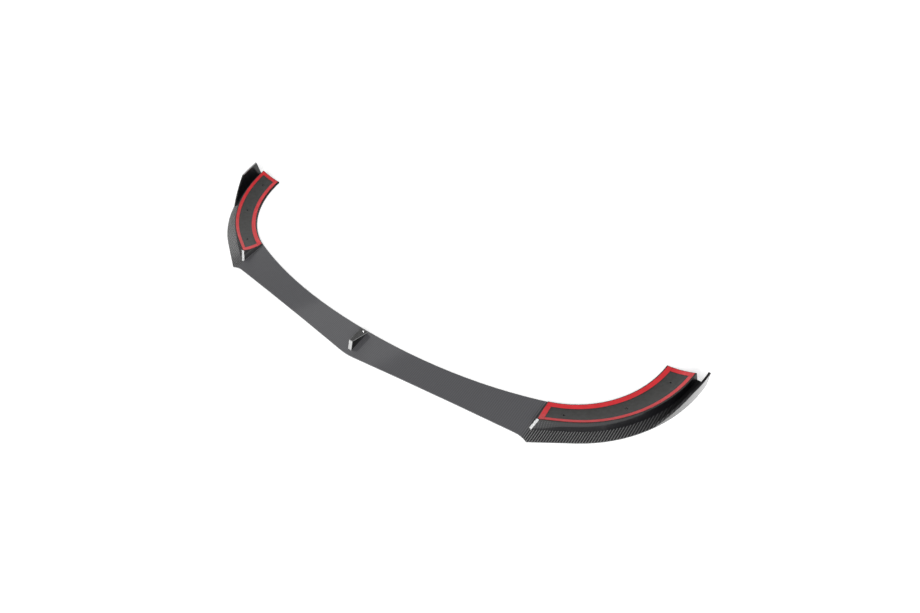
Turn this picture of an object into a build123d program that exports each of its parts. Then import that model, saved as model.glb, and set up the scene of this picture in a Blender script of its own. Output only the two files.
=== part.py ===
"""Front splitter lip of a car: a moulded carbon blade with a curled arm at each end, which carries a
bumper seat with foam tape, an outer wall, a lip and an upright end fence. A small fin is screwed to the
middle of the blade. Millimetres, +Z up, front of the car towards -Y, underside on z = 0."""

import os
from math import acos, asin, atan, atan2, cos, degrees, radians, sin, sqrt, tan

from build123d import *

os.makedirs("parts", exist_ok=True)

# Thickness of the moulding: blade and lip, and the skin of the raised seats
skin = 4.0
seat_skin = 3.5

# Blade, measured from its nose on the centre line: x to the right, y to the rear
nose_radius = 200.0
nose_half_angle = 6.85
flare_length = 38.0
flare_rise = 6.2
blade_depth = 95.7

# Right arm: bands around one centre, with square ends, that run straight ahead of an angle
arm_centre_x = 477.0
arm_centre_y = 472.5
arm_front_x = 575.5
arm_rear_y = 445.5
inner_radius = 309.0
seat_width = 67.0
wall_run = 10.5
lip_width = 30.5
corner_step = 14.5
crest_straight_from = -63.0
foot_straight_from = -60.0
lip_straight_from = -58.4
crest_spread = 11.0
foot_spread = 6.5

# Bumper seat on the arm, heights above the blade's top
toe_setback = 1.0
toe_land = 8.0
toe_step_front = 5.0
toe_step_rear = 1.0
crest_front = 28.0
crest_rear = 27.5
seat_sag = 5.0
crest_bevel = 1.5
end_wall_lean = 22.0
corner_chamfer = 8.0

# Screw holes along the middle of each seat
hole_radius = 2.5
hole_inset = 39.0
hole_angles = [-63.0, -36.5, -13.0]

# Upright fence on the lip's outer edge
fence_thickness = 6.0
fence_height = 54.0
fence_start_y = 262.0
fence_kink_y = 368.0
fence_kink_round = 15.0

# Foam tape with its liner, in four strips around each seat
tape_width = 13.0
outer_tape_width = 10.5
tape_inset = 2.0
tape_crest_gap = 3.5
tape_joint = 0.5
tape_clearance = 0.3
foam_thickness = 0.8
liner_thickness = 0.2

# Centre fin and its screw
fin_nose_gap = 16.5
fin_rake = 15.5
fin_top_height = 27.5
fin_tail_gap = 6.7
fin_tail_height = 14.0
fin_nose_width = 13.0
fin_tail_width = 30.0
fin_heel_width = 10.0
fin_bevel = 1.2
screw_tail_gap = 7.5
screw_head_radius = 3.6
screw_crown_radius = 2.2
screw_head_height = 2.4
screw_rim_height = 0.8
screw_shank_radius = 2.0
screw_clearance = 0.15
screw_pocket_margin = 0.5
screw_pocket_depth = 0.4
screw_tip_height = 1.0

# The plan starts at the nose, so that the whole part is centred over the origin
plan = Plane(origin=(0, -arm_rear_y / 2, 0))
side = Plane(origin=plan.origin, x_dir=(0, 1, 0), z_dir=(1, 0, 0))
arm_centre = (arm_centre_x, arm_centre_y)
arm_axis = plan.from_local_coords((*arm_centre, 0))

# Radii of the arm's bands, from the inner edge to the lip's edge
crest_radius = inner_radius + seat_width
foot_radius = crest_radius + wall_run
lip_radius = foot_radius + lip_width


def straight_run_y(radius, straight_from, x):
    """Where the straight run of a band, ahead of the angle straight_from, passes an x."""
    turn = radians(straight_from)
    return arm_centre_y + (radius - (x - arm_centre_x) * cos(turn)) / sin(turn)


def rear_angle(radius):
    """Angle at which an arc around the arm's centre meets the square rear cut."""
    return -degrees(asin((arm_centre_y - arm_rear_y) / radius))


def arm_arc(radius, start):
    """Arc around the arm's centre, from an angle to the rear cut."""
    return CenterArc(arm_centre, radius, start, rear_angle(radius) - start)


# Front corner of the lip, and where the blade's front edge starts to flare towards it
corner_x = arm_front_x + corner_step
corner = (corner_x, straight_run_y(lip_radius, lip_straight_from, corner_x))
flare_start = (corner[0] - flare_length, corner[1] + flare_rise)
inner_front_angle = -degrees(acos((arm_front_x - arm_centre_x) / inner_radius))

# Radial stations along the arm, a little past both of its ends
station_margin = 9.0
station_count = 12
foot_front_y = straight_run_y(foot_radius, foot_straight_from, arm_front_x)
front_station = degrees(atan2(foot_front_y - arm_centre_y, arm_front_x - arm_centre_x)) - station_margin
rear_station = max(rear_angle(inner_radius), rear_angle(lip_radius)) + station_margin
station_step = (rear_station - front_station) / (station_count - 1)
stations = [front_station + station_step * k for k in range(station_count)]
beyond = 120.0


def radial_plane(angle):
    """Upright plane through the arm's axis: local x outwards, local y up."""
    c, s = cos(radians(angle)), sin(radians(angle))
    return Plane(origin=arm_axis, x_dir=(c, s, 0), z_dir=(s, -c, 0))


def along(angle, front, rear):
    """Value that changes evenly from the front of the arm to its rear end."""
    return front + (rear - front) * (angle - front_station) / (rear_station - front_station)


def spread(radius, angle, straight_from, growth):
    """Radius that runs straight ahead of the angle straight_from, and grows slowly behind it."""
    if angle < straight_from:
        return radius / cos(radians(straight_from - angle))
    return radius + growth * (angle - straight_from) / (rear_station - straight_from)


def toe(angle):
    """Inner edge of the seat: radius and height."""
    return inner_radius + toe_setback, skin + along(angle, toe_step_front, toe_step_rear)


def crest(angle):
    """Outer edge of the seat: radius and height."""
    radius = spread(crest_radius, angle, crest_straight_from, crest_spread)
    return radius, skin + along(angle, crest_front, crest_rear)


def wall_lean(angle):
    """How far the outer wall runs out for each millimetre that it drops to the lip."""
    crest_r, crest_z = crest(angle)
    foot_r = spread(foot_radius, angle, foot_straight_from, foot_spread)
    return (foot_r - crest_r) / (crest_z - skin)


def seat_height(angle, radius):
    """Height of the hollowed seat at a radius."""
    (toe_r, toe_z), (crest_r, crest_z) = toe(angle), crest(angle)
    share = (radius - toe_r) / (crest_r - toe_r)
    return toe_z + share * (crest_z - toe_z) - 4 * seat_sag * share * (1 - share)


def seat_slope(angle, radius):
    """Slope of the hollowed seat at a radius."""
    (toe_r, toe_z), (crest_r, crest_z) = toe(angle), crest(angle)
    share = (radius - toe_r) / (crest_r - toe_r)
    return (crest_z - toe_z - 4 * seat_sag * (1 - 2 * share)) / (crest_r - toe_r)


def seat_curve(angle, start, end, shift):
    """Control points of the seat's section between two radii, moved up by shift."""
    start_z = seat_height(angle, start) + shift
    control = ((start + end) / 2, start_z + seat_slope(angle, start) * (end - start) / 2)
    return [(start, start_z), control, (end, seat_height(angle, end) + shift)]


def seat_section(angle):
    """Section of the raised seat as a solid, with its base inside the plate."""
    toe_r = toe(angle)[0]
    crest_r, crest_z = crest(angle)
    lean = wall_lean(angle)
    base = skin / 2
    with BuildSketch(radial_plane(angle)) as section:
        with BuildLine():
            top = Bezier(*seat_curve(angle, toe_r, crest_r - crest_bevel, 0))
            wall_top = (crest_r + lean * crest_bevel, crest_z - crest_bevel)
            wall_base = (crest_r + lean * (crest_z - base), base)
            Polyline(top @ 1, wall_top, wall_base, (toe_r, base), top @ 0)
        make_face()
    return section.sketch


def hollow_section(angle):
    """Section of the hollow under the seat, which goes out through the plate's underside."""
    inner = inner_radius + toe_land
    outer = crest(angle)[0] - seat_skin
    drop = seat_skin * sqrt(1 + seat_slope(angle, outer) ** 2)
    roof_end = seat_height(angle, outer) - drop
    base = -skin
    with BuildSketch(radial_plane(angle)) as section:
        with BuildLine():
            roof = Bezier(*seat_curve(angle, inner, outer, -drop))
            wall_base = (outer + wall_lean(angle) * (roof_end - base), base)
            Polyline(roof @ 1, wall_base, (inner, base), roof @ 0)
        make_face()
    return section.sketch


def layer_section(angle, start, end, low, high):
    """Section of a layer that follows the seat between two radii and two heights above it."""
    under = seat_curve(angle, start, end, low)
    over = seat_curve(angle, start, end, high)
    with BuildSketch(radial_plane(angle)) as section:
        with BuildLine():
            if end - start > 2 * tape_width:
                Bezier(*under)
                Bezier(*over)
            else:
                Line(under[0], under[-1])
                Line(over[0], over[-1])
            Line(under[0], over[0])
            Line(under[-1], over[-1])
        make_face()
    return section.sketch


def ahead_of_end_wall(gap):
    """Solid ahead of the leaning end wall, once that is moved back by gap."""
    face_x = arm_front_x + gap
    low, high = -2 * skin, skin + fence_height
    lean = fence_height * tan(radians(end_wall_lean))
    with BuildPart() as ahead:
        with BuildSketch(Plane.XZ):
            with BuildLine():
                Polyline((face_x - beyond, low), (face_x, low), (face_x, skin), (face_x + lean, high),
                         (face_x - beyond, high), close=True)
            make_face()
        extrude(amount=arm_rear_y, both=True)
    return ahead.part


def end_wall_corner(radius, straight_from, height):
    """Where the straight run of the outer wall, at a height above the blade, meets the end wall."""
    x = arm_front_x + height * tan(radians(end_wall_lean))
    return plan.from_local_coords((x, straight_run_y(radius, straight_from, x), skin + height))


def behind_rear_cut(gap):
    """Solid behind the arm's square rear cut, once that is moved forward by gap."""
    low, high = -2 * skin, skin + fence_height
    with BuildPart() as behind:
        with BuildSketch(plan.offset(low)):
            with Locations((arm_centre_x + lip_radius, arm_rear_y - gap)):
                Rectangle(2 * lip_radius, beyond, align=(Align.CENTER, Align.MIN))
        extrude(amount=high - low)
    return behind.part


# Right half of the flat plate: blade and lip
with BuildPart() as plate:
    with BuildSketch(plan):
        with BuildLine():
            nose_end = (nose_radius * sin(radians(nose_half_angle)),
                        nose_radius * (1 - cos(radians(nose_half_angle))))
            nose = TangentArc((0, 0), nose_end, tangent=(1, 0))
            front_edge = TangentArc(nose @ 1, flare_start, tangent=nose % 1)
            flare = TangentArc(front_edge @ 1, corner, tangent=front_edge % 1)
            lip_edge = arm_arc(lip_radius, lip_straight_from)
            inner_edge = arm_arc(inner_radius, inner_front_angle)
            rear_edge = Spline((0, blade_depth), inner_edge @ 0, tangents=[(1, 0), inner_edge % 0])
            Line(flare @ 1, lip_edge @ 0)
            Line(lip_edge @ 1, inner_edge @ 1)
            Line(rear_edge @ 0, nose @ 0)
        make_face()
    extrude(amount=skin)

# Plane of the chamfer between the end wall and the outer wall, parallel to the edge where they meet
corner_foot = end_wall_corner(foot_radius, foot_straight_from, 0)
corner_crest = end_wall_corner(crest_radius, crest_straight_from, crest_front)
along_end_wall = Vector(0, 1, 0)
along_outer_wall = Vector(-sin(radians(foot_straight_from)), cos(radians(foot_straight_from)), 0)
chamfer_across = along_outer_wall - along_end_wall
chamfer_plane = Plane(origin=corner_foot + along_end_wall * corner_chamfer, x_dir=chamfer_across,
                      z_dir=chamfer_across.cross(corner_crest - corner_foot))

# Raised seat as a solid, with its front corner chamfered
seat_sections = [seat_section(angle) for angle in stations]
with BuildPart() as seat:
    loft(seat_sections)
    add(ahead_of_end_wall(0), mode=Mode.SUBTRACT)
    add(behind_rear_cut(0), mode=Mode.SUBTRACT)
    split(bisect_by=chamfer_plane, keep=Keep.BOTTOM)

# Hollow under the seat, open below and at the rear
hollow_sections = [hollow_section(angle) for angle in stations]
with BuildPart() as hollow:
    loft(hollow_sections)
    add(ahead_of_end_wall(seat_skin), mode=Mode.SUBTRACT)

# Upright fence: a strip along the lip's arc, under a ramp that ends in a level top
fence_base = skin / 2
fence_top = skin + fence_height
ramp_run = (fence_kink_y - fence_start_y) / fence_height
ramp_start = (fence_start_y - ramp_run * (skin - fence_base), fence_base)
with BuildPart() as fence:
    with BuildSketch(plan):
        with BuildLine():
            outer_face = arm_arc(lip_radius, lip_straight_from)
            inner_face = arm_arc(lip_radius - fence_thickness, lip_straight_from)
            Line(outer_face @ 0, inner_face @ 0)
            Line(outer_face @ 1, inner_face @ 1)
        make_face()
    extrude(amount=fence_top)
    with BuildSketch(side):
        with BuildLine():
            top_edge = FilletPolyline(ramp_start, (fence_kink_y, fence_top), (arm_rear_y, fence_top),
                                      radius=fence_kink_round)
            Polyline(top_edge @ 1, (arm_rear_y, fence_base), ramp_start)
        make_face()
    extrude(amount=arm_centre_x + 2 * lip_radius, mode=Mode.INTERSECT)

# Centre fin: sloping top that widens to the rear, over a slim foot, with a pocket and a hole for its screw
fin_nose_y = fin_nose_gap
fin_top_y = fin_nose_y + fin_rake
fin_tail_y = blade_depth - fin_tail_gap
screw_y = fin_tail_y - screw_tail_gap
fin_slope = (fin_tail_height - fin_top_height) / (fin_tail_y - fin_top_y)
pocket_radius = screw_head_radius + screw_pocket_margin
pocket_low_edge = fin_top_height + fin_slope * (screw_y + pocket_radius - fin_top_y)
pocket_floor = skin + pocket_low_edge - screw_pocket_depth
screw_place = plan.from_local_coords((0, screw_y, 0))
fin_top_plane = Plane(origin=plan.from_local_coords((0, fin_top_y, skin + fin_top_height)),
                      x_dir=(1, 0, 0), z_dir=(0, -fin_slope, 1))
fin_top_length = (fin_tail_y - fin_top_y) * sqrt(1 + fin_slope ** 2)


def fin_outline(start, end, end_width, inset):
    """Outline of the fin from its nose width at start to another width at end, made smaller by inset."""
    half_nose = fin_nose_width / 2 - inset
    half_end = end_width / 2 - inset
    with BuildLine() as outline:
        Polyline((-half_nose, start + inset), (half_nose, start + inset),
                 (half_end, end - inset), (-half_end, end - inset), close=True)
    return outline.line


with BuildPart() as fin:
    with BuildSketch(plan.offset(skin)):
        add(fin_outline(fin_nose_y, fin_tail_y, fin_heel_width, 0))
        make_face()
    with BuildSketch(fin_top_plane.offset(-fin_bevel)):
        add(fin_outline(0, fin_top_length, fin_tail_width, 0))
        make_face()
    with BuildSketch(fin_top_plane):
        add(fin_outline(0, fin_top_length, fin_tail_width, fin_bevel))
        make_face()
    loft(ruled=True)
    with Locations((screw_place.X, screw_place.Y, pocket_floor)):
        Cylinder(pocket_radius, fin_top_height, align=(Align.CENTER, Align.CENTER, Align.MIN),
                 mode=Mode.SUBTRACT)
    with Locations(screw_place):
        Hole(screw_shank_radius + screw_clearance)
fin.part.label = "centre_fin"
export_step(fin.part, "parts/centre_fin.step")

# Screw through the fin's tail into the blade
screw_top = pocket_floor + screw_head_height
with BuildPart() as screw:
    with BuildSketch(Plane.XZ.offset(-screw_place.Y)):
        with BuildLine():
            Polyline((0, screw_top), (screw_crown_radius, screw_top),
                     (screw_head_radius, pocket_floor + screw_rim_height), (screw_head_radius, pocket_floor),
                     (screw_shank_radius, pocket_floor), (screw_shank_radius, screw_tip_height),
                     (0, screw_tip_height), close=True)
        make_face()
    revolve(axis=Axis(screw_place, (0, 0, 1)))
screw.part.label = "fin_screw"
export_step(screw.part, "parts/fin_screw.step")

# The moulding: both halves in one piece
with BuildPart() as body:
    add(plate.part)
    add(seat.part)
    add(hollow.part, mode=Mode.SUBTRACT)
    add(fence.part)
    hole_circle = inner_radius + hole_inset
    hole_places = [radial_plane(angle).from_local_coords((hole_circle, 0, 0)) for angle in hole_angles]
    with Locations(*hole_places):
        Hole(hole_radius)
    mirror(about=Plane.YZ)
    with Locations(screw_place):
        Hole(screw_shank_radius + screw_clearance)
body.part.label = "splitter_body"
export_step(body.part, "parts/splitter_body.step")

# Where each strip starts and ends across the seat
inner_strip_start = inner_radius + toe_setback + tape_inset
inner_strip_end = inner_strip_start + tape_width


def outer_strip_end(angle):
    """Outer edge of the tape, short of the rounded crest."""
    return crest(angle)[0] - tape_crest_gap


def outer_strip_start(angle):
    """Inner edge of the outer strip, its width down the slope."""
    end = outer_strip_end(angle)
    return end - outer_tape_width * cos(atan(seat_slope(angle, end)))


across = {
    "inner": lambda angle: (inner_strip_start, inner_strip_end),
    "outer": lambda angle: (outer_strip_start(angle), outer_strip_end(angle)),
    "front": lambda angle: (inner_strip_end + tape_joint, outer_strip_end(angle)),
    "rear": lambda angle: (inner_strip_end + tape_joint, outer_strip_end(angle)),
}

# The end strips only need the stations next to them
end_turn = 1.25 * degrees((tape_inset + tape_width) / inner_radius)
front_end_angle = front_station + station_margin
rear_end_angle = rear_station - station_margin


def three_stations(first, last):
    """Two angles and the one midway between them."""
    return [first, (first + last) / 2, last]


end_stations = {
    "front": three_stations(front_end_angle, inner_front_angle + end_turn),
    "rear": three_stations(rear_angle(inner_radius) - end_turn, rear_end_angle),
}
foam_top = tape_clearance + foam_thickness
layers = {
    "tape": (tape_clearance, foam_top),
    "liner": (foam_top, foam_top + liner_thickness),
}

# Four strips of tape and four of liner on each seat
for layer_name, (low, high) in layers.items():
    for strip_name, span in across.items():
        strip_stations = end_stations.get(strip_name, stations)
        sections = [layer_section(angle, *span(angle), low, high) for angle in strip_stations]
        with BuildPart() as strip:
            loft(sections, ruled=strip_name in end_stations)
            if strip_name == "front":
                add(ahead_of_end_wall(tape_inset + tape_width), mode=Mode.INTERSECT)
                split(bisect_by=chamfer_plane.offset(-tape_inset), keep=Keep.BOTTOM)
            elif strip_name == "rear":
                add(behind_rear_cut(tape_inset + tape_width), mode=Mode.INTERSECT)
            end_gap = tape_inset
            if strip_name == "outer":
                end_gap += tape_width + tape_joint
            add(ahead_of_end_wall(end_gap), mode=Mode.SUBTRACT)
            add(behind_rear_cut(end_gap), mode=Mode.SUBTRACT)
        right = strip.part
        left = mirror(right, about=Plane.YZ)
        for hand, piece in (("right", right), ("left", left)):
            piece.label = f"{layer_name}_{strip_name}_{hand}"
            export_step(piece, f"parts/{piece.label}.step")
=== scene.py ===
"""Looks of the front splitter lip: coated carbon, matt seats, tape with red liner, studio floor."""

from math import cos, pi, sin

import bpy
from mathutils import Matrix, Vector

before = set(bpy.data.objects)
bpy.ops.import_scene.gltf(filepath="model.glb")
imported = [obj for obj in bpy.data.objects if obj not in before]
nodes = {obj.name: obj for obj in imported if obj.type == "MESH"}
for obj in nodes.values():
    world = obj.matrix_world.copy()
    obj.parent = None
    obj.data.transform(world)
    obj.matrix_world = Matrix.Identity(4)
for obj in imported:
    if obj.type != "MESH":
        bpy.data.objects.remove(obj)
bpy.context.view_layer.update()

# The photograph's camera, in metres in the part's frame
camera_place = Vector((0.9969, -0.72225, 1.411))
camera_back = Vector((0.4470, -0.4491, 0.7736))
camera_right = Vector((0.7972, 0.5923, -0.1168))
image_width = 920
focal_pixels = 600
sensor_width = 36

# Arm of the moulding and top of the blade, as in the part's source
arm_centre = (0.477, 0.24975)
arm_front_x = 0.5755
arm_rear_y = 0.22275
blade_top = 0.004

# Where looks change: past the seat's inner edge and the wall's foot, short of the fence, off the blade
seat_inner_radius = 0.312
seat_outer_radius = 0.388
channel_outer_radius = 0.407
raised_margin = 0.0008

# Parts of the normal that tell faces apart: upward, and for the fin's nose rearward
seat_facing = 0.8
wall_facing = 0.5
flat_facing = 0.9
fin_top_facing = (0.88, 0.95)
fin_bevel_facing = (0.4, 0.88)
fin_nose_facing = -0.75

# Twill: width of a tow, tows in a repeat, tows from light to dark, and turn from the car's axes
tow_width = 0.0021
tow_repeat = 4.0
tow_fade = 1.2
tow_turn = 0.785

# Painted sheen on the twill: fades along the car, and on upright faces is a share that fades past the
# arm's front
sheen_front_y = -0.11
sheen_rear_y = 0.16
gusset_share = 0.14
gusset_from = 0.02
gusset_to = 0.07

# Half the width in which blade and arm blend, and how much coat the rear of the channel loses, as
# painted shade
arm_blend = 0.012
channel_shade_depth = 0.7

# Noise: its scale on each material, the part of its range that is used, and the liner's bump
seat_grain = 90.0
liner_waves = 35.0
foam_cells = 900.0
screw_scuffs = 700.0
noise_range = (0.3, 0.7)
wave_range = (0.35, 0.65)
wave_height = 0.002
wave_strength = 0.25

# White floor with a coved rim, and how much it is lifted near the part, far from it and on the rim
floor_level = -0.0005
floor_radius = 5.0
floor_colour = 0.65
near_lift = 0.55
far_lift = 0.8
wall_lift = 0.3
lift_from = 1.2
lift_to = 3.0
wall_from = 4.0
wall_to = 6.5
cove_radius = 4.5
cove_steps = 12
cove_sides = 72
world_strength = 0.2

# Soft lights: place, point they face, width and height in metres, and watts
lights = {
    "key": ((2.2, -2.6, 3.0), (0, 0, 0), (2.8, 2.8), 178),
    "side_wall": ((-3.55, 1.03, 2.0), (-0.7, -0.05, 0), (1.2, 0.9), 4.6),
    "back_wall": ((-3.1, 2.6, 1.62), (-0.75, 0, 0), (2.9, 1.6), 38),
    "back_low": ((-0.6, 3.3, 0.6), (0.3, 0, 0), (3.2, 1.0), 12),
    "top_panel": ((-1.53, 0.62, 2.0), (-0.08, -0.15, 0), (1.0, 0.6), 1.1),
    "low_box": ((-2.26, -2.2, 0.42), (0.58, -0.14, 0), (0.35, 0.35), 6),
    "front_box": ((-0.8, -2.2, 1.31), (-0.58, -0.14, 0), (0.35, 0.35), 6),
    "crest_box": ((1.0, -2.3, 1.6), (0.65, -0.12, 0), (0.5, 0.5), 12),
}


class Nodes:
    """Short way to build a material's node tree."""

    def __init__(self, name):
        self.material = bpy.data.materials.new(name)
        self.material.use_nodes = True
        self.tree = self.material.node_tree
        self.tree.nodes.clear()

    def add(self, kind, **settings):
        node = self.tree.nodes.new(kind)
        for key, value in settings.items():
            setattr(node, key, value)
        return node

    def plug(self, socket, value):
        if isinstance(value, bpy.types.NodeSocket):
            self.tree.links.new(value, socket)
        else:
            socket.default_value = value

    def math(self, operation, a, b=0.0):
        node = self.add("ShaderNodeMath", operation=operation)
        self.plug(node.inputs[0], a)
        self.plug(node.inputs[1], b)
        return node.outputs[0]

    def product(self, first, *others):
        for other in others:
            first = self.math("MULTIPLY", first, other)
        return first

    def rest(self, value):
        """What a share leaves of 1."""
        return self.math("SUBTRACT", 1.0, value)

    def within(self, value, low, high):
        """1 where a value lies between two numbers, otherwise 0."""
        return self.product(self.math("GREATER_THAN", value, low), self.math("LESS_THAN", value, high))

    def length(self, vector):
        node = self.add("ShaderNodeVectorMath", operation="LENGTH")
        self.plug(node.inputs[0], vector)
        return node.outputs["Value"]

    def axes(self, vector):
        node = self.add("ShaderNodeSeparateXYZ")
        self.plug(node.inputs[0], vector)
        return node.outputs

    def smooth(self, value, low, high, from_value=0.0, to_value=1.0):
        """Smooth step from one value to another, between two numbers."""
        node = self.add("ShaderNodeMapRange", interpolation_type="SMOOTHSTEP")
        for socket, number in zip(node.inputs[:5], (value, low, high, from_value, to_value)):
            self.plug(socket, number)
        return node.outputs[0]

    def mix(self, factor, a, b):
        """Mix of two colours."""
        node = self.add("ShaderNodeMix", data_type="RGBA")
        self.plug(node.inputs[0], factor)
        self.plug(node.inputs[6], a)
        self.plug(node.inputs[7], b)
        return node.outputs[2]

    def mix_value(self, factor, a, b):
        """Mix of two numbers."""
        node = self.add("ShaderNodeMix", data_type="FLOAT")
        for socket, number in zip(node.inputs[:1] + node.inputs[2:4], (factor, a, b)):
            self.plug(socket, number)
        return node.outputs[0]

    def noise(self, vector, scale):
        node = self.add("ShaderNodeTexNoise")
        self.plug(node.inputs["Vector"], vector)
        node.inputs["Scale"].default_value = scale
        node.inputs["Detail"].default_value = 2.0
        return node.outputs[0]

    def bump(self, height, distance, strength):
        node = self.add("ShaderNodeBump")
        node.inputs["Strength"].default_value = strength
        node.inputs["Distance"].default_value = distance
        self.plug(node.inputs["Height"], height)
        return node.outputs[0]

    def surface(self, **sockets):
        """The finished material, from the Principled shader's sockets."""
        shader = self.add("ShaderNodeBsdfPrincipled")
        for key, value in sockets.items():
            self.plug(shader.inputs[key.replace("_", " ")], value)
        output = self.add("ShaderNodeOutputMaterial")
        self.tree.links.new(shader.outputs[0], output.inputs[0])
        return self.material


def grey(level, blue=1.0):
    """Neutral colour of a linear level, with a little more or less blue."""
    return (level, level, level * blue, 1.0)


def twill(n, position):
    """Brightness of a 2x2 twill: one tow in four is bright, the next a little, and two are dark."""
    turn = n.add("ShaderNodeVectorRotate", rotation_type="Z_AXIS")
    n.plug(turn.inputs["Vector"], position)
    turn.inputs["Angle"].default_value = tow_turn
    place = n.axes(turn.outputs[0])
    warp = n.math("FLOOR", n.math("DIVIDE", place["X"], tow_width))
    weft = n.math("FLOOR", n.math("DIVIDE", place["Y"], tow_width))
    step = n.math("FLOORED_MODULO", n.math("ADD", warp, weft), tow_repeat)
    return n.smooth(step, 0.0, tow_fade, 1.0, 0.0)


def arm_place(n, place):
    """Distance from the centre plane, and from the axis of the arm on that side."""
    side_x = n.math("ABSOLUTE", place["X"])
    across = n.math("SUBTRACT", side_x, arm_centre[0])
    behind = n.math("SUBTRACT", place["Y"], arm_centre[1])
    square = n.math("ADD", n.product(across, across), n.product(behind, behind))
    return side_x, n.math("SQRT", square)


def carbon_material():
    """Clear-coated carbon, with an open twill on the arms whose contrast is a painted sheen, painted
    shade in the rear of the channel, and bare satin laminate on the two seats.
    """
    n = Nodes("carbon_twill")
    geometry = n.add("ShaderNodeNewGeometry")
    position = geometry.outputs["Position"]
    place = n.axes(position)
    facing = n.axes(geometry.outputs["True Normal"])
    side_x, radius = arm_place(n, place)

    # Seat: above the blade's top, facing up, between the inner edge and the outer wall
    raised = n.math("GREATER_THAN", place["Z"], blade_top + raised_margin)
    level = n.math("GREATER_THAN", facing["Z"], seat_facing)
    seat = n.product(raised, level, n.within(radius, seat_inner_radius, seat_outer_radius))

    # Painted sheen: the twill's light tows stand out on the lip, less on the front of the wall, and
    # fade to the arm's rear end
    front = n.smooth(place["Y"], sheen_front_y, sheen_rear_y, 1.0, 0.0)
    upright = n.smooth(facing["Z"], wall_facing, flat_facing, 1.0, 0.0)
    gusset = n.smooth(side_x, arm_front_x + gusset_from, arm_front_x + gusset_to, gusset_share, 0.0)
    bright = n.product(front, n.mix_value(upright, 1.0, gusset))
    weave = twill(n, position)
    # Light tows: painted sheen, from nearly black to light grey as the sheen share rises
    tow_sheen_colour = n.mix(bright, grey(0.009, 1.2), grey(0.265))
    arm_colour = n.mix(weave, grey(0.006, 1.2), tow_sheen_colour)
    blade_colour = n.mix(weave, grey(0.08, 1.07), grey(0.104, 1.07))
    wall = n.product(raised, upright)
    past_blade = n.smooth(side_x, arm_front_x - arm_blend, arm_front_x + arm_blend)
    arm = n.math("MAXIMUM", wall, past_blade)
    coated = n.mix(arm, blade_colour, arm_colour)

    # Painted shade: the rear of the channel between wall and fence loses coat, so it is duller and
    # darker
    channel = n.product(n.rest(front), n.math("LESS_THAN", radius, channel_outer_radius))
    painted_channel_shade = n.product(arm, channel, channel_shade_depth)
    grain = n.smooth(n.noise(position, seat_grain), *noise_range)
    bare = n.mix(grain, grey(0.046, 0.96), grey(0.056, 0.97))
    return n.surface(
        Base_Color=n.mix(seat, coated, bare),
        Roughness=n.smooth(seat, 0.0, 1.0, 0.4, 0.45),
        Specular_IOR_Level=0.2,
        # Coat is off the bare seats, and partly off the rear of the channel as painted shade
        Coat_Weight=n.rest(n.math("MAXIMUM", seat, painted_channel_shade)),
        Coat_Roughness=0.08,
    )


def fin_material():
    """Gloss black carbon of the fin, with painted light: a greyer top as if lit from above, painted
    highlights on the bevels, and a pale nose that is a painted highlight.
    """
    n = Nodes("fin_carbon")
    geometry = n.add("ShaderNodeNewGeometry")
    facing = n.axes(geometry.outputs["True Normal"])
    weave = twill(n, geometry.outputs["Position"])
    top = n.smooth(facing["Z"], *fin_top_facing)
    bevel = n.within(facing["Z"], *fin_bevel_facing)
    nose = n.math("LESS_THAN", facing["Y"], fin_nose_facing)
    side_colour = n.mix(weave, grey(0.004), grey(0.01))
    # Painted light: the top is greyer than the sides, as if lit from above
    lit_top_colour = n.mix(weave, grey(0.035), grey(0.07))
    # Painted highlight: the front-facing nose is pale, as if it mirrored a bright lamp
    nose_highlight_colour = n.mix(weave, grey(0.5), grey(0.6))
    # Painted highlight: the bevels between top and sides are light grey
    colour = n.mix(bevel, n.mix(top, side_colour, lit_top_colour), grey(0.22))
    return n.surface(
        Base_Color=n.mix(nose, colour, nose_highlight_colour),
        Roughness=0.35,
        Specular_IOR_Level=0.2,
        Coat_Weight=1.0,
        Coat_Roughness=0.04,
    )


def liner_material():
    """Red release film with slight waves."""
    n = Nodes("red_liner")
    geometry = n.add("ShaderNodeNewGeometry")
    waves = n.noise(geometry.outputs["Position"], liner_waves)
    dark_red = (0.62, 0.028, 0.036, 1)
    light_red = (0.7, 0.034, 0.042, 1)
    return n.surface(
        Base_Color=n.mix(n.smooth(waves, *wave_range), dark_red, light_red),
        Roughness=0.4,
        Specular_IOR_Level=0.3,
        Normal=n.bump(waves, wave_height, wave_strength),
    )


def foam_material():
    """Dark acrylic foam of the tape."""
    n = Nodes("tape_foam")
    geometry = n.add("ShaderNodeNewGeometry")
    cells = n.noise(geometry.outputs["Position"], foam_cells)
    return n.surface(Base_Color=n.mix(cells, grey(0.012), grey(0.03)), Roughness=0.85)


def screw_material():
    """Bright plating, lightly scuffed."""
    n = Nodes("plated_steel")
    geometry = n.add("ShaderNodeNewGeometry")
    scuffs = n.noise(geometry.outputs["Position"], screw_scuffs)
    return n.surface(
        Base_Color=grey(0.8),
        Metallic=1.0,
        Roughness=n.smooth(scuffs, *noise_range, 0.15, 0.3),
    )


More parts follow.
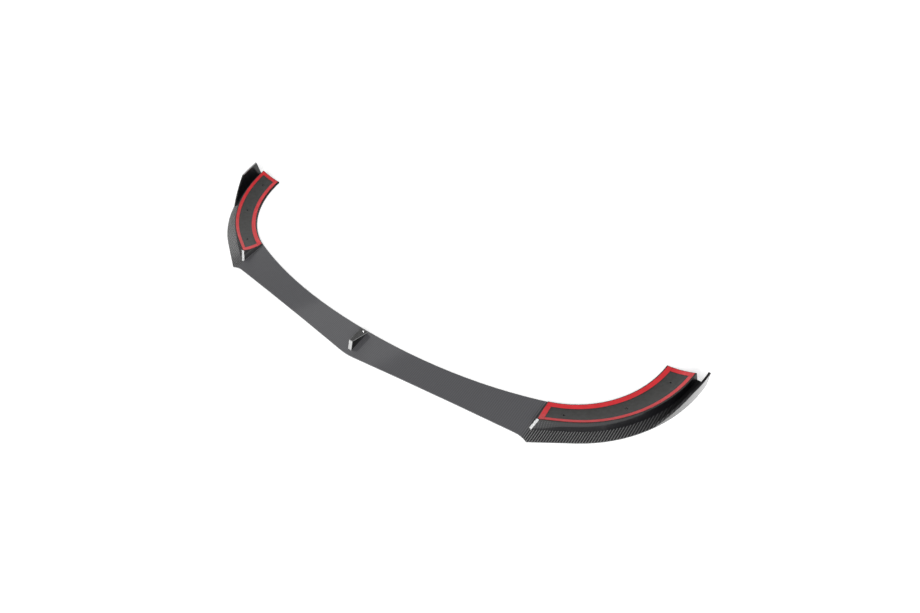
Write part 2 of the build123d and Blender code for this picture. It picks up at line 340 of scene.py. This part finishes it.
def floor_material():
    """White, lifted where it is seen or mirrored, except in the arms' hollows, so that shadow shows."""
    n = Nodes("floor_white")
    ray = n.add("ShaderNodeLightPath").outputs
    seen = n.math("MAXIMUM", ray["Is Camera Ray"], ray["Is Glossy Ray"])
    seen = n.math("MAXIMUM", seen, ray["Is Transmission Ray"])
    position = n.add("ShaderNodeNewGeometry").outputs["Position"]
    place = n.axes(position)
    side_x, radius = arm_place(n, place)
    hollow = n.product(
        n.math("GREATER_THAN", side_x, arm_front_x),
        n.math("LESS_THAN", place["Y"], arm_rear_y),
        n.within(radius, seat_inner_radius, seat_outer_radius),
    )
    distance = n.length(position)
    white = n.smooth(distance, lift_from, lift_to, near_lift, far_lift)
    lift = n.mix_value(n.smooth(distance, wall_from, wall_to), white, wall_lift)
    return n.surface(
        Base_Color=grey(floor_colour),
        Roughness=1.0,
        Emission_Color=grey(1.0),
        Emission_Strength=n.product(seen, lift, n.rest(hollow)),
    )


def dress(prefix, material):
    """Gives the material to every CAD node whose name starts with the prefix."""
    for name, node in nodes.items():
        if name.startswith(prefix):
            node.data.materials.clear()
            node.data.materials.append(material)


def add_floor():
    """Round floor whose rim curves up into a wall."""
    corners = []
    for step in range(cove_steps + 1):
        rise = pi / 2 * step / cove_steps
        radius = floor_radius + cove_radius * sin(rise)
        height = floor_level + cove_radius * (1 - cos(rise))
        for turn in range(cove_sides):
            angle = 2 * pi * turn / cove_sides
            corners.append((radius * cos(angle), radius * sin(angle), height))
    faces = [tuple(range(cove_sides))]
    for start in range(0, cove_steps * cove_sides, cove_sides):
        above = start + cove_sides
        for turn in range(cove_sides):
            after = (turn + 1) % cove_sides
            faces.append((start + turn, above + turn, above + after, start + after))
    mesh = bpy.data.meshes.new("floor")
    mesh.from_pydata(corners, [], faces)
    mesh.materials.append(floor_material())
    floor = bpy.data.objects.new("floor", mesh)
    bpy.context.scene.collection.objects.link(floor)


def add_light(name, place, target, size, power):
    """Rectangular soft light that faces a point and isn't seen itself."""
    lamp = bpy.data.lights.new(name, "AREA")
    lamp.shape = "RECTANGLE"
    lamp.size, lamp.size_y = size
    lamp.energy = power
    light = bpy.data.objects.new(name, lamp)
    light.location = place
    light.visible_camera = False
    light.rotation_euler = (Vector(target) - Vector(place)).to_track_quat("-Z", "Y").to_euler()
    bpy.context.scene.collection.objects.link(light)


def add_world():
    """Even grey light from above the floor's rim."""
    world = bpy.data.worlds.new("studio")
    world.use_nodes = True
    background = world.node_tree.nodes["Background"]
    background.inputs["Color"].default_value = grey(1.0)
    background.inputs["Strength"].default_value = world_strength
    bpy.context.scene.world = world


def add_camera():
    """The photograph's camera."""
    data = bpy.data.cameras.new("camera")
    data.sensor_width = sensor_width
    data.lens = sensor_width * focal_pixels / image_width
    back = camera_back.normalized()
    right = (camera_right - camera_right.dot(back) * back).normalized()
    up = back.cross(right)
    turn = Matrix((right, up, back)).transposed().to_4x4()
    camera = bpy.data.objects.new("camera", data)
    camera.matrix_world = Matrix.Translation(camera_place) @ turn
    bpy.context.scene.collection.objects.link(camera)
    bpy.context.scene.camera = camera


dress("splitter_body", carbon_material())
dress("centre_fin", fin_material())
dress("fin_screw", screw_material())
dress("tape_", foam_material())
dress("liner_", liner_material())
add_floor()
for light_name, settings in lights.items():
    add_light(light_name, *settings)
add_world()
add_camera()
bpy.context.scene.view_settings.view_transform = "Standard"
